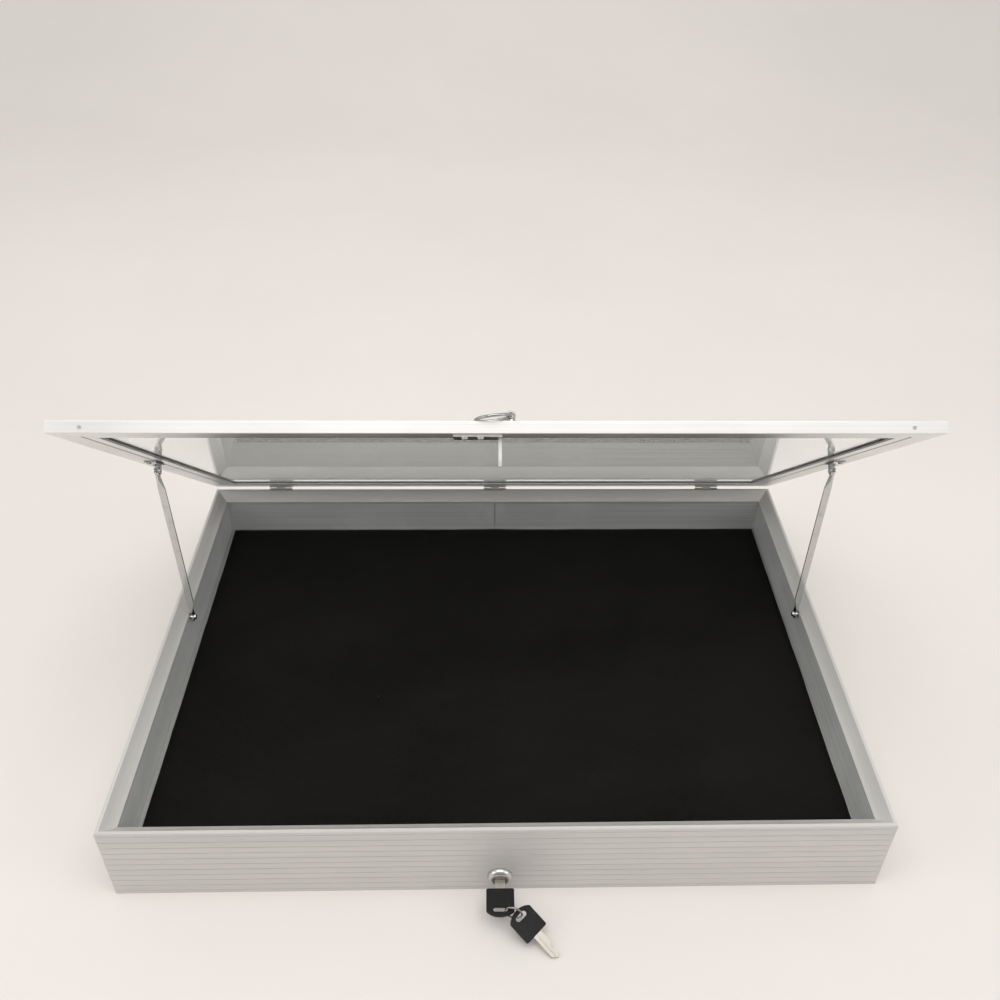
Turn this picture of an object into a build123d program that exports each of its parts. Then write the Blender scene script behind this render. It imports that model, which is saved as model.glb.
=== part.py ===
from build123d import *
import os
from math import asin, atan2, cos, degrees, hypot, radians, sin, sqrt

# Tabletop display case with a hinged glass lid, lid stays and a cam lock.
# Millimetres. +X is right, +Y is the hinge side, +Z is up. The origin is the
# middle of the underside. The lid is drawn open, resting on its two stays.

os.makedirs("parts", exist_ok=True)

# Driving dimensions
case_width = 700.0
case_depth = 500.0
case_height = 90.0
lid_height = 10.0
lid_gap = 0.4
lid_front_inset = 3.0
lid_open_angle = 41.0

half_width = case_width / 2
half_depth = case_depth / 2
lid_front_y = -half_depth + lid_front_inset
lid_depth = case_depth - lid_front_inset
lid_middle_y = lid_front_inset / 2

# Case wall extrusion: distances inward from the outer face, and heights
skin = 1.5
wall_inner = 13.0
crest_width = 3.2
nose_reach = 14.2
nose_bottom = 78.0
nose_top = 80.0
ledge_dip = 0.7
shelf_reach = 22.0
shelf_bottom = 4.0
shelf_top = 5.5
groove_count = 11
groove_pitch = 8.1
groove_depth = 0.3
groove_width = 0.9
outer_edge_chamfer = 0.7
key_chamber_low = 33.4
key_chamber_high = 60.0

# Lining, board and pad inside the case
liner_thickness = 1.0
liner_top = 77.7
seam_gap = 0.5
liner_bottom = 5.6
board_top = 36.0
board_thickness = 9.0
board_gap = 0.3
board_notch_depth = 14.0
batten_bottom = 4.1
batten_width = 20.0
batten_end_gap = 10.0
batten_positions = [-310.0, -105.0, 105.0, 310.0]
pad_thickness = 2.6
pad_left_gap = 4.6
pad_right_gap = 2.4
pad_rear_gap = 2.6
pad_front = -half_depth + 29.0

# Lid extrusion: distances inward from the outer edge, heights from its underside
rail_tube_width = 20.0
rail_skin = 1.4
rail_flange_reach = 29.0
rail_flange_thickness = 2.0
glass_thickness = 4.0
glass_inset = 22.0
gasket_lip = 0.6
gasket_head = 1.6
gasket_reach = 28.4
bead_reach = 30.5
bead_bottom = 0.4
bead_bevel = 0.7

# Hinges
hinge_spacing = 270.0
hinge_length = 28.0
leaf_thickness = 1.2
leaf_height = 16.0
leaf_stand_off = 0.2
knuckle_radius = 2.6
pin_radius = 1.25
running_clearance = 0.05
knuckle_gap = 0.3
middle_knuckle = 11.0
hinge_y = half_depth + knuckle_radius
hinge_below_top = 3.6
hinge_z = case_height - hinge_below_top

# Stays: the upper pivot is fixed to the lid, the lower end hooks on a case stud
stay_x = 332.4
stay_eye_thickness = 2.0
stay_eye_radius = 4.2
stay_bar_width = 6.8
stay_bar_thickness = 2.0
stay_bar_shift = -0.6
stay_neck_start = 9.0
stay_neck_end = 22.0
stay_pin_radius = 2.0
stay_back_from_hinge = 290.0
stay_below_hinge = 4.2
stud_y = 34.5
stud_z = 75.0
stud_radius = 2.0
stud_head_radius = 3.2
notch_width = 4.8
notch_angle = 50.0

# Lock, keys and strike
lock_z = 22.0
lock_bezel_radius = 11.5
lock_bezel_height = 5.5
lock_barrel_radius = 9.0
lock_plug_radius = 7.2
cam_length = 51.6
cam_thickness = 2.0
cam_y = -half_depth + 21.0
key_width = 9.0
key_thickness = 1.8
key_blade_length = 26.0
key_head_width = 25.0
key_head_length = 26.5
key_head_thickness = 3.4
key_head_round = 0.6
key_slot_length = 13.0
key_slot_width = 4.8
key_slot_from_shoulder = 20.0
key_shoulder_y = -half_depth - 14.0
ring_radius = 7.7
ring_wire_radius = 0.85
strike_thickness = 1.8
tongue_thickness = 2.6
strike_left = -38.0
strike_right = 0.0
strike_front = -half_depth + 7.0
strike_back = -half_depth + 28.0
tongue_depth = 12.0
tongue_length = 24.0

# Pull on the lid
pull_x = 7.0
pull_from_front = 10.0
pull_eye_height = 4.9
pull_eye_radius = 2.9
pull_eye_wire = 1.1
pull_ring_radius = 14.0
pull_ring_wire = 1.3

lid_bottom_z = case_height + lid_gap
lid_top_z = lid_bottom_z + lid_height

# The lid's parts are placed as on the closed case, then this turns them open.
lid_swing = Pos(0, hinge_y, hinge_z) * Rot(-lid_open_angle, 0, 0) * Pos(0, -hinge_y, -hinge_z)


def lid(plane):
    """A plane of the closed lid, carried up with the open lid."""
    return Plane(lid_swing * plane.location)


def save(piece, node):
    """Label a finished piece and write it as its own file."""
    piece.part.label = node
    export_step(piece.part, f"parts/{node}.step")


# ---------------------------------------------------------------- case walls

# node: outer corner where the run starts, inward direction, run direction, length
wall_runs = {
    "front_wall": ((-half_width, -half_depth), (0, 1), (1, 0), case_width),
    "right_wall": ((half_width, -half_depth), (-1, 0), (0, 1), case_depth),
    "rear_wall": ((half_width, half_depth), (0, -1), (-1, 0), case_width),
    "left_wall": ((-half_width, half_depth), (1, 0), (0, -1), case_depth),
}


def mitre_planes(corner, inward, run, length, height):
    """The two upright 45 degree planes that end a mitred length."""
    start = Vector(corner[0], corner[1], height)
    along = Vector(run[0], run[1], 0)
    across = Vector(inward[0], inward[1], 0)
    return (
        Plane(origin=start, z_dir=along - across),
        Plane(origin=start + along * length, z_dir=along * -1 - across),
    )


def make_wall(corner, inward, run, length):
    """One mitred length of the hollow, grooved wall extrusion."""
    base = Plane(
        origin=(corner[0], corner[1], 0),
        x_dir=(inward[0], inward[1], 0),
        z_dir=(run[0], run[1], 0),
    )
    ledge_middle = ((crest_width + nose_reach) / 2, (case_height + nose_top) / 2 - ledge_dip)
    with BuildPart() as wall:
        with BuildSketch(base):
            with BuildLine():
                Polyline(
                    (crest_width, case_height),
                    (outer_edge_chamfer, case_height),
                    (0, case_height - outer_edge_chamfer),
                    (0, 0),
                    (wall_inner, 0),
                    (wall_inner, shelf_bottom),
                    (shelf_reach, shelf_bottom),
                    (shelf_reach, shelf_top),
                    (wall_inner, shelf_top),
                    (wall_inner, nose_bottom),
                    (nose_reach, nose_bottom),
                    (nose_reach, nose_top),
                )
                ThreePointArc((nose_reach, nose_top), ledge_middle, (crest_width, case_height))
            make_face()
            # grooves run along the outer face
            with Locations((0, case_height / 2)):
                with GridLocations(groove_pitch, groove_pitch, 1, groove_count):
                    Rectangle(2 * groove_depth, groove_width, mode=Mode.SUBTRACT)
            # three hollow chambers, the middle one holds the corner keys
            chamber = wall_inner - 2 * skin
            lower_height = key_chamber_low - 2 * skin
            with Locations((wall_inner / 2, skin + lower_height / 2)):
                Rectangle(chamber, lower_height, mode=Mode.SUBTRACT)
            with Locations((wall_inner / 2, (key_chamber_low + key_chamber_high) / 2)):
                Rectangle(chamber, key_chamber_high - key_chamber_low, mode=Mode.SUBTRACT)
            with BuildLine():
                Polyline(
                    (skin, key_chamber_high + skin),
                    (wall_inner - skin, key_chamber_high + skin),
                    (wall_inner - skin, nose_bottom + 0.6),
                    (crest_width - 0.4, case_height - 3.2),
                    (skin, case_height - 3.2),
                    close=True,
                )
            make_face(mode=Mode.SUBTRACT)
        extrude(amount=length)
        for cut in mitre_planes(corner, inward, run, length, 0):
            split(bisect_by=cut, keep=Keep.TOP)
    return wall


base_screw_inset = 18.0
base_screws_along_x = [-280, -95, 95, 280]
base_screws_along_y = [-120, 120]
base_screw_spots = [
    (x, side * (half_depth - base_screw_inset)) for x in base_screws_along_x for side in (-1, 1)
] + [
    (side * (half_width - base_screw_inset), y) for y in base_screws_along_y for side in (-1, 1)
]
base_screw_radius = 1.5
base_screw_head_radius = 3.2
base_screw_head_height = 1.8

hinge_positions = [-hinge_spacing, 0, hinge_spacing]
leaf_screw_spacing = 9.5
case_leaf_screw_z = hinge_z - 10.5
lid_leaf_screw_z = lid_bottom_z + 5.2
leaf_screw_radius = 1.5
leaf_screw_head_radius = 2.6
leaf_screw_length = 5.0

for node, (corner, inward, run, length) in wall_runs.items():
    blank = make_wall(corner, inward, run, length)
    with BuildPart() as wall:
        add(blank.part)
        # screw holes of the base panel, in the inner shelf
        with Locations([(x, y, shelf_top) for x, y in base_screw_spots]):
            Cylinder(base_screw_radius, 6, mode=Mode.SUBTRACT)
        if node == "front_wall":
            with BuildSketch(Plane.XZ.offset(half_depth + 1)):
                with Locations((0, lock_z)):
                    Circle(lock_barrel_radius + 0.1)
            extrude(amount=-(wall_inner + 2), mode=Mode.SUBTRACT)
        if node == "rear_wall":
            with BuildSketch(Plane.XZ.offset(-half_depth)):
                with Locations([(x, case_leaf_screw_z) for x in hinge_positions]):
                    with GridLocations(2 * leaf_screw_spacing, 1, 2, 1):
                        Circle(leaf_screw_radius)
            extrude(amount=4, mode=Mode.SUBTRACT)
        if node in ("left_wall", "right_wall"):
            # hole of the stay stud, in the inner skin
            side = -1 if node == "left_wall" else 1
            with BuildSketch(Plane.YZ.offset(side * (half_width - wall_inner))):
                with Locations((stud_y, stud_z)):
                    Circle(stud_radius - 0.4)
            extrude(amount=side * 3, mode=Mode.SUBTRACT)
    save(wall, node)

key_arm = 48.0
key_fit = 0.2
key_outer = skin + key_fit
key_inner = wall_inner - skin - key_fit
with BuildPart() as case_corner_keys:
    with BuildSketch(Plane.XY.offset(key_chamber_low + key_fit)):
        with BuildLine():
            Polyline(
                (-half_width + key_outer, -half_depth + key_outer),
                (-half_width + key_arm, -half_depth + key_outer),
                (-half_width + key_arm, -half_depth + key_inner),
                (-half_width + key_inner, -half_depth + key_inner),
                (-half_width + key_inner, -half_depth + key_arm),
                (-half_width + key_outer, -half_depth + key_arm),
                close=True,
            )
        make_face()
    extrude(amount=key_chamber_high - key_chamber_low - 2 * key_fit)
    mirror(about=Plane.YZ)
    mirror(about=Plane.XZ)
save(case_corner_keys, "case_corner_keys")

# ---------------------------------------------------------------- case inside

panel_fit = 0.2
with BuildPart() as base_panel:
    with BuildSketch():
        Rectangle(
            case_width - 2 * (wall_inner + panel_fit), case_depth - 2 * (wall_inner + panel_fit)
        )
    extrude(amount=shelf_bottom)
    with Locations([Location((x, y, 0), (180, 0, 0)) for x, y in base_screw_spots]):
        CounterSinkHole(base_screw_radius + 0.1, base_screw_head_radius + 0.1)
save(base_panel, "base_panel")

with BuildPart() as base_screws:
    with BuildSketch(Plane.XY) as heads:
        with Locations(base_screw_spots):
            Circle(base_screw_head_radius)
    extrude(amount=base_screw_head_height, taper=43)
    with BuildSketch(Plane.XY):
        with Locations(base_screw_spots):
            Circle(base_screw_radius - 0.05)
    extrude(amount=shelf_top)
    with BuildSketch(Plane.XY):
        with Locations(base_screw_spots):
            Rectangle(3.4, 0.8)
            Rectangle(0.8, 3.4)
    extrude(amount=0.9, mode=Mode.SUBTRACT)
save(base_screws, "base_screws")

liner_face_x = half_width - wall_inner - liner_thickness
liner_face_y = half_depth - wall_inner - liner_thickness
liner_height = liner_top - liner_bottom
liner_middle_z = (liner_top + liner_bottom) / 2
lining_to_wall = 0.02

with BuildPart() as rear_liners:
    with Locations((liner_face_x / 2 + seam_gap / 2, liner_face_y + liner_thickness / 2, liner_middle_z)):
        Box(liner_face_x - seam_gap, liner_thickness - lining_to_wall, liner_height)
    mirror(about=Plane.YZ)
save(rear_liners, "rear_liners")

with BuildPart() as front_liner:
    with Locations((0, -liner_face_y - liner_thickness / 2, liner_middle_z)):
        Box(2 * liner_face_x, liner_thickness - lining_to_wall, liner_height)
    with BuildSketch(Plane.XZ.offset(liner_face_y - 2)):
        with Locations((0, lock_z)):
            Circle(lock_barrel_radius + 0.3)
    extrude(amount=5, mode=Mode.SUBTRACT)
save(front_liner, "front_liner")

with BuildPart() as side_liners:
    with Locations((liner_face_x + liner_thickness / 2, 0, liner_middle_z)):
        Box(liner_thickness - lining_to_wall, 2 * liner_face_y, liner_height)
    with BuildSketch(Plane.YZ.offset(liner_face_x - 2)):
        with Locations((stud_y, stud_z)):
            Circle(stud_radius + 0.1)
    extrude(amount=5, mode=Mode.SUBTRACT)
    mirror(about=Plane.YZ)
save(side_liners, "side_liners")

with BuildPart() as floor_board:
    with BuildSketch(Plane.XY.offset(board_top - board_thickness)):
        Rectangle(2 * (liner_face_x - board_gap), 2 * (liner_face_y - board_gap))
        # room for the lock's nut and the sweep of its cam
        with Locations((22, -liner_face_y)):
            Rectangle(80, 2 * board_notch_depth, mode=Mode.SUBTRACT)
    extrude(amount=board_thickness)
save(floor_board, "floor_board")

with BuildPart() as floor_battens:
    with BuildSketch(Plane.XY.offset(batten_bottom)):
        with Locations([(x, 0) for x in batten_positions]):
            Rectangle(batten_width, 2 * (liner_face_y - batten_end_gap))
    extrude(amount=board_top - board_thickness - batten_bottom)
save(floor_battens, "floor_battens")

pad_left = -liner_face_x + pad_left_gap
pad_right = liner_face_x - pad_right_gap
pad_rear = liner_face_y - pad_rear_gap
with BuildPart() as velvet_pad:
    with BuildSketch(Plane.XY.offset(board_top)):
        with Locations(((pad_left + pad_right) / 2, (pad_front + pad_rear) / 2)):
            RectangleRounded(pad_right - pad_left, pad_rear - pad_front, 1.5)
    extrude(amount=pad_thickness)
save(velvet_pad, "velvet_pad")

# ---------------------------------------------------------------- lid frame

rail_runs = {
    "lid_front_rail": ((-half_width, lid_front_y), (0, 1), (1, 0), case_width),
    "lid_right_rail": ((half_width, lid_front_y), (-1, 0), (0, 1), lid_depth),
    "lid_rear_rail": ((half_width, half_depth), (0, -1), (-1, 0), case_width),
    "lid_left_rail": ((-half_width, half_depth), (1, 0), (0, -1), lid_depth),
}
lid_middle_plane = Plane.XZ.offset(-lid_middle_y)


def lid_run_plane(corner, inward, run):
    """Section plane at the start of one side of the lid."""
    return lid(
        Plane(
            origin=(corner[0], corner[1], lid_bottom_z),
            x_dir=(inward[0], inward[1], 0),
            z_dir=(run[0], run[1], 0),
        )
    )


def make_rail(corner, inward, run, length):
    """One mitred length of the lid's hollow extrusion with its glass flange."""
    with BuildPart() as rail:
        with BuildSketch(lid_run_plane(corner, inward, run)):
            with Locations((rail_tube_width / 2, lid_height / 2)):
                RectangleRounded(rail_tube_width, lid_height, 0.5)
            with Locations((rail_flange_reach / 2 + 2, lid_height - rail_flange_thickness / 2)):
                Rectangle(rail_flange_reach - 4, rail_flange_thickness)
            with Locations((rail_tube_width / 2, lid_height / 2)):
                Rectangle(
                    rail_tube_width - 2 * rail_skin, lid_height - 2 * rail_skin, mode=Mode.SUBTRACT
                )
        extrude(amount=length)
        for cut in mitre_planes(corner, inward, run, length, lid_bottom_z):
            split(bisect_by=lid(cut), keep=Keep.TOP)
    return rail


lid_screw_x = 323.5
lid_screw_z = lid_bottom_z + 4.8
lid_screw_radius = 1.1
lid_screw_head_radius = 1.7

strike_screw_xs = [-29.0, -16.5]
strike_screw_y = strike_front + 5.0
strike_screw_radius = 1.5

bracket_screw_offset = 9.0
stay_pivot_y = hinge_y - stay_back_from_hinge
stay_pivot_z = hinge_z - stay_below_hinge
bracket_x = 327.0

pull_y = -half_depth + pull_from_front

for node, (corner, inward, run, length) in rail_runs.items():
    blank = make_rail(corner, inward, run, length)
    with BuildPart() as rail:
        add(blank.part)
        if node == "lid_front_rail":
            with BuildSketch(lid(Plane.XZ.offset(-lid_front_y + 1))):
                with Locations((-lid_screw_x, lid_screw_z), (lid_screw_x, lid_screw_z)):
                    Circle(lid_screw_radius + 0.1)
            extrude(amount=-4, mode=Mode.SUBTRACT)
            with BuildSketch(lid(Plane.XY.offset(lid_bottom_z - 1))):
                with Locations([(x, strike_screw_y) for x in strike_screw_xs]):
                    Circle(strike_screw_radius)
            extrude(amount=4, mode=Mode.SUBTRACT)
            with BuildSketch(lid(Plane.XY.offset(lid_top_z - 4))):
                with Locations((pull_x, pull_y)):
                    Circle(1.6)
            extrude(amount=5, mode=Mode.SUBTRACT)
        if node == "lid_rear_rail":
            with BuildSketch(lid(Plane.XZ.offset(-half_depth - 1))):
                with Locations([(x, lid_leaf_screw_z) for x in hinge_positions]):
                    with GridLocations(2 * leaf_screw_spacing, 1, 2, 1):
                        Circle(leaf_screw_radius)
                with Locations((-lid_screw_x, lid_screw_z), (lid_screw_x, lid_screw_z)):
                    Circle(lid_screw_radius + 0.1)
            extrude(amount=4, mode=Mode.SUBTRACT)
        if node in ("lid_left_rail", "lid_right_rail"):
            side = -1 if node == "lid_left_rail" else 1
            with BuildSketch(lid(Plane.XY.offset(lid_bottom_z - 1))):
                with Locations((side * (bracket_x + 10), stay_pivot_y)):
                    with GridLocations(1, 2 * bracket_screw_offset, 1, 2):
                        Circle(strike_screw_radius)
            extrude(amount=4, mode=Mode.SUBTRACT)
    save(rail, node)

lid_key_arm = 42.0
lid_key_outer = rail_skin + key_fit
lid_key_inner = rail_tube_width - rail_skin - key_fit
with BuildPart() as lid_corner_keys:
    with BuildSketch(lid(Plane.XY.offset(lid_bottom_z + lid_key_outer))):
        with BuildLine():
            Polyline(
                (-half_width + lid_key_outer, lid_front_y + lid_key_outer),
                (-half_width + lid_key_arm, lid_front_y + lid_key_outer),
                (-half_width + lid_key_arm, lid_front_y + lid_key_inner),
                (-half_width + lid_key_inner, lid_front_y + lid_key_inner),
                (-half_width + lid_key_inner, lid_front_y + lid_key_arm),
                (-half_width + lid_key_outer, lid_front_y + lid_key_arm),
                close=True,
            )
        make_face()
    extrude(amount=lid_height - 2 * lid_key_outer)
    with BuildSketch(lid(Plane.XZ.offset(-lid_front_y))):
        with Locations((-lid_screw_x, lid_screw_z)):
            Circle(lid_screw_radius)
    extrude(amount=-10, mode=Mode.SUBTRACT)
    mirror(about=Plane.YZ)
    mirror(about=lid(lid_middle_plane))
save(lid_corner_keys, "lid_corner_keys")

with BuildPart() as lid_corner_screws:
    with BuildSketch(lid(Plane.XZ.offset(-lid_front_y))):
        with Locations((-lid_screw_x, lid_screw_z)):
            Circle(lid_screw_head_radius)
    extrude(amount=0.5, taper=20)
    with BuildSketch(lid(Plane.XZ.offset(-lid_front_y))):
        with Locations((-lid_screw_x, lid_screw_z)):
            Circle(lid_screw_radius - 0.03)
    extrude(amount=-9)
    with BuildSketch(lid(Plane.XZ.offset(-lid_front_y + 0.5))):
        with Locations((-lid_screw_x, lid_screw_z)):
            Rectangle(1.8, 0.45)
            Rectangle(0.45, 1.8)
    extrude(amount=-0.4, mode=Mode.SUBTRACT)
    mirror(about=Plane.YZ)
    mirror(about=lid(lid_middle_plane))
save(lid_corner_screws, "lid_corner_screws")

glass_bottom_z = lid_top_z - rail_flange_thickness - gasket_head - glass_thickness
with BuildPart() as lid_glass:
    with BuildSketch(lid(Plane.XY.offset(glass_bottom_z))):
        with Locations((0, lid_middle_y)):
            Rectangle(case_width - 2 * glass_inset, lid_depth - 2 * glass_inset)
    extrude(amount=glass_thickness)
save(lid_glass, "lid_glass")

gasket_outer = rail_tube_width + 0.4
with BuildPart() as glass_gasket:
    with BuildSketch(lid(Plane.XY.offset(glass_bottom_z - gasket_lip))):
        with Locations((0, lid_middle_y)):
            Rectangle(case_width - 2 * gasket_outer, lid_depth - 2 * gasket_outer)
            Rectangle(
                case_width - 2 * gasket_reach, lid_depth - 2 * gasket_reach, mode=Mode.SUBTRACT
            )
    extrude(amount=gasket_lip + glass_thickness + gasket_head)
    with BuildSketch(lid(Plane.XY.offset(glass_bottom_z))):
        with Locations((0, lid_middle_y)):
            Rectangle(case_width - 2 * glass_inset, lid_depth - 2 * glass_inset)
    extrude(amount=glass_thickness, mode=Mode.SUBTRACT)
save(glass_gasket, "glass_gasket")

bead_top = glass_bottom_z - gasket_lip - lid_bottom_z


def make_bead(corner, inward, run, length):
    """One mitred glazing bead that holds the glass from below."""
    with BuildPart() as bead:
        with BuildSketch(lid_run_plane(corner, inward, run)):
            with BuildLine():
                Polyline(
                    (rail_tube_width + 0.3, bead_bottom),
                    (bead_reach - bead_bevel, bead_bottom),
                    (bead_reach, bead_bottom + bead_bevel),
                    (bead_reach, bead_top),
                    (rail_tube_width + 0.3, bead_top),
                    close=True,
                )
            make_face()
        extrude(amount=length)
        for cut in mitre_planes(corner, inward, run, length, lid_bottom_z):
            split(bisect_by=lid(cut), keep=Keep.TOP)
    return bead


with BuildPart() as long_beads:
    add(make_bead(*rail_runs["lid_front_rail"]).part)
    add(make_bead(*rail_runs["lid_rear_rail"]).part)
save(long_beads, "long_glazing_beads")

with BuildPart() as short_beads:
    add(make_bead(*rail_runs["lid_left_rail"]).part)
    add(make_bead(*rail_runs["lid_right_rail"]).part)
save(short_beads, "short_glazing_beads")

# ---------------------------------------------------------------- hinges

hinge_plane = Plane.YZ.offset(-hinge_length / 2)
outer_knuckle = (hinge_length - middle_knuckle) / 2
relief = knuckle_radius + 0.4

with BuildPart() as hinge_case_leaf:
    with BuildSketch(Plane.XZ.offset(-half_depth - leaf_thickness)):
        with Locations((0, hinge_z - leaf_height / 2)):
            Rectangle(hinge_length, leaf_height)
        with Locations((0, hinge_z)):
            Rectangle(middle_knuckle, 2 * relief, mode=Mode.SUBTRACT)
        with Locations((0, case_leaf_screw_z)):
            with GridLocations(2 * leaf_screw_spacing, 1, 2, 1):
                Circle(leaf_screw_radius + 0.1, mode=Mode.SUBTRACT)
    extrude(amount=leaf_thickness)
    with BuildSketch(hinge_plane):
        with Locations((hinge_y, hinge_z)):
            Circle(knuckle_radius)
    extrude(amount=hinge_length)
    with Locations((0, hinge_y, hinge_z)):
        Box(middle_knuckle, 2 * relief, 2 * relief, mode=Mode.SUBTRACT)
    with BuildSketch(hinge_plane):
        with Locations((hinge_y, hinge_z)):
            Circle(pin_radius)
    extrude(amount=hinge_length, mode=Mode.SUBTRACT)

with BuildPart() as hinge_case_leaves:
    with Locations([(x, 0, 0) for x in hinge_positions]):
        add(hinge_case_leaf.part)
save(hinge_case_leaves, "hinge_case_leaves")

lid_leaf_top = lid_bottom_z + 9.6
lid_knuckle = middle_knuckle - 2 * knuckle_gap
with BuildPart() as hinge_lid_leaf:
    with BuildSketch(lid(Plane.XZ.offset(-half_depth - leaf_thickness))):
        with Locations((0, (hinge_z + relief + lid_leaf_top) / 2)):
            Rectangle(hinge_length, lid_leaf_top - hinge_z - relief)
        with Locations((0, (hinge_z + lid_leaf_top) / 2)):
            Rectangle(lid_knuckle, lid_leaf_top - hinge_z)
        with Locations((0, lid_leaf_screw_z)):
            with GridLocations(2 * leaf_screw_spacing, 1, 2, 1):
                Circle(leaf_screw_radius + 0.1, mode=Mode.SUBTRACT)
    extrude(amount=leaf_thickness)
    # stands off the rear wall below the lid
    with BuildSketch(lid(Plane.XY.offset(lid_bottom_z))):
        with Locations((0, half_depth)):
            Rectangle(hinge_length, 2 * leaf_stand_off, mode=Mode.ADD)
    extrude(amount=-2 * leaf_height, mode=Mode.SUBTRACT)
    with BuildSketch(lid(Plane.YZ.offset(-lid_knuckle / 2))):
        with Locations((hinge_y, hinge_z)):
            Circle(knuckle_radius - leaf_stand_off)
    extrude(amount=lid_knuckle)
    with BuildSketch(lid(Plane.YZ.offset(-lid_knuckle / 2))):
        with Locations((hinge_y, hinge_z)):
            Circle(pin_radius + running_clearance)
    extrude(amount=lid_knuckle, mode=Mode.SUBTRACT)

with BuildPart() as hinge_lid_leaves:
    with Locations([(x, 0, 0) for x in hinge_positions]):
        add(hinge_lid_leaf.part)
save(hinge_lid_leaves, "hinge_lid_leaves")

with BuildPart() as hinge_pins:
    for x in hinge_positions:
        with BuildSketch(Plane.YZ.offset(x - hinge_length / 2 - 0.3)):
            with Locations((hinge_y, hinge_z)):
                Circle(pin_radius)
        extrude(amount=hinge_length + 0.6)
save(hinge_pins, "hinge_pins")


def leaf_screws(height, place):
    """Six pan-head screws on the rear face; place carries their plane."""
    spots = [(x + side * leaf_screw_spacing, height) for x in hinge_positions for side in (-1, 1)]
    with BuildPart() as screws:
        with BuildSketch(place(Plane.XZ.offset(-half_depth - leaf_thickness))):
            with Locations([(x, z) for x, z in spots]):
                Circle(leaf_screw_head_radius)
        extrude(amount=-1.2, taper=25)
        with BuildSketch(place(Plane.XZ.offset(-half_depth - leaf_thickness))):
            with Locations([(x, z) for x, z in spots]):
                Circle(leaf_screw_radius - 0.05)
        extrude(amount=leaf_screw_length - 0.2)
        with BuildSketch(place(Plane.XZ.offset(-half_depth - leaf_thickness - 1.2))):
            with Locations([(x, z) for x, z in spots]):
                Rectangle(2.0, 0.5)
                Rectangle(0.5, 2.0)
        extrude(amount=0.7, mode=Mode.SUBTRACT)
    return screws


save(leaf_screws(case_leaf_screw_z, lambda plane: plane), "hinge_case_screws")
save(leaf_screws(lid_leaf_screw_z, lid), "hinge_lid_screws")

# ---------------------------------------------------------------- stays

swing = radians(lid_open_angle)
pivot_y = hinge_y - stay_back_from_hinge * cos(swing) - stay_below_hinge * sin(swing)
pivot_z = hinge_z + stay_back_from_hinge * sin(swing) - stay_below_hinge * cos(swing)
stay_length = hypot(stud_y - pivot_y, stud_z - pivot_z)
stay_direction = Vector(0, (stud_y - pivot_y) / stay_length, (stud_z - pivot_z) / stay_length)
stay_top = Vector(stay_x, pivot_y, pivot_z)
stay_flat = Plane(
    origin=stay_top - Vector(stay_eye_thickness / 2, 0, 0), x_dir=stay_direction, z_dir=(1, 0, 0)
)
print("stay length", round(stay_length, 2), "upper pivot", round(pivot_y, 2), round(pivot_z, 2))
stay_world_angle = degrees(atan2(stud_z - pivot_z, stud_y - pivot_y))
print("stay turns", round(-stay_world_angle - lid_open_angle, 3), "degrees while the lid closes")


def stay_section(distance, shift=0.0):
    """Plane across the stay at a distance from its upper pivot, moved sideways by shift."""
    origin = stay_top + stay_direction * distance + Vector(shift, 0, 0)
    return Plane(origin=origin, x_dir=(1, 0, 0), z_dir=stay_direction)


with BuildPart() as stay_arm_right:
    # flat eyes, the lower one a notch that opens towards the front
    with BuildSketch(stay_flat):
        Circle(stay_eye_radius)
        with Locations((stay_neck_start / 2, 0)):
            Rectangle(stay_neck_start, 1.7 * stay_eye_radius)
        with Locations((stay_length, 0)):
            Circle(stay_eye_radius + 0.6)
        with Locations((stay_length - stay_neck_start / 2, 0)):
            Rectangle(stay_neck_start, 1.7 * stay_eye_radius)
        Circle(stay_pin_radius + running_clearance, mode=Mode.SUBTRACT)
        with Locations((stay_length, 0)):
            Circle(notch_width / 2, mode=Mode.SUBTRACT)
        with Locations(Location((stay_length, 0, 0), (0, 0, 180 + notch_angle))):
            with Locations((6, 0)):
                Rectangle(12, notch_width, mode=Mode.SUBTRACT)
    extrude(amount=stay_eye_thickness)
    # twisted necks between the flat eyes and the bar
    for near, far in (
        (stay_neck_start, stay_neck_end),
        (stay_length - stay_neck_start, stay_length - stay_neck_end),
    ):
        with BuildSketch(stay_section(near)):
            Rectangle(stay_eye_thickness, 1.7 * stay_eye_radius)
        with BuildSketch(stay_section(far, stay_bar_shift)):
            Rectangle(stay_bar_width, stay_bar_thickness)
        loft(ruled=True)
    with BuildSketch(stay_section(stay_neck_end, stay_bar_shift)):
        Rectangle(stay_bar_width, stay_bar_thickness)
    extrude(amount=stay_length - 2 * stay_neck_end)
save(stay_arm_right, "stay_arm_right")

with BuildPart() as stay_arm_left:
    mirror(stay_arm_right.part, about=Plane.YZ)
save(stay_arm_left, "stay_arm_left")

ear_outer = stay_x - stay_eye_thickness / 2 - 0.6
ear_thickness = 1.6
bracket_thickness = 1.5
with BuildPart() as stay_bracket_right:
    with BuildSketch(lid(Plane.XY.offset(lid_bottom_z - bracket_thickness))):
        with Locations(((ear_outer - ear_thickness + half_width - 9) / 2, stay_pivot_y)):
            RectangleRounded(half_width - 9 - ear_outer + ear_thickness, 28, 1.5)
        with Locations((bracket_x + 10, stay_pivot_y)):
            with GridLocations(1, 2 * bracket_screw_offset, 1, 2):
                Circle(strike_screw_radius + 0.1, mode=Mode.SUBTRACT)
    extrude(amount=bracket_thickness)
    with BuildSketch(lid(Plane.YZ.offset(ear_outer - ear_thickness))):
        with Locations((stay_pivot_y, (stay_pivot_z + lid_bottom_z) / 2)):
            Rectangle(9.6, lid_bottom_z - stay_pivot_z)
        with Locations((stay_pivot_y, stay_pivot_z)):
            Circle(4.8)
            Circle(stay_pin_radius, mode=Mode.SUBTRACT)
    extrude(amount=ear_thickness)
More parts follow.
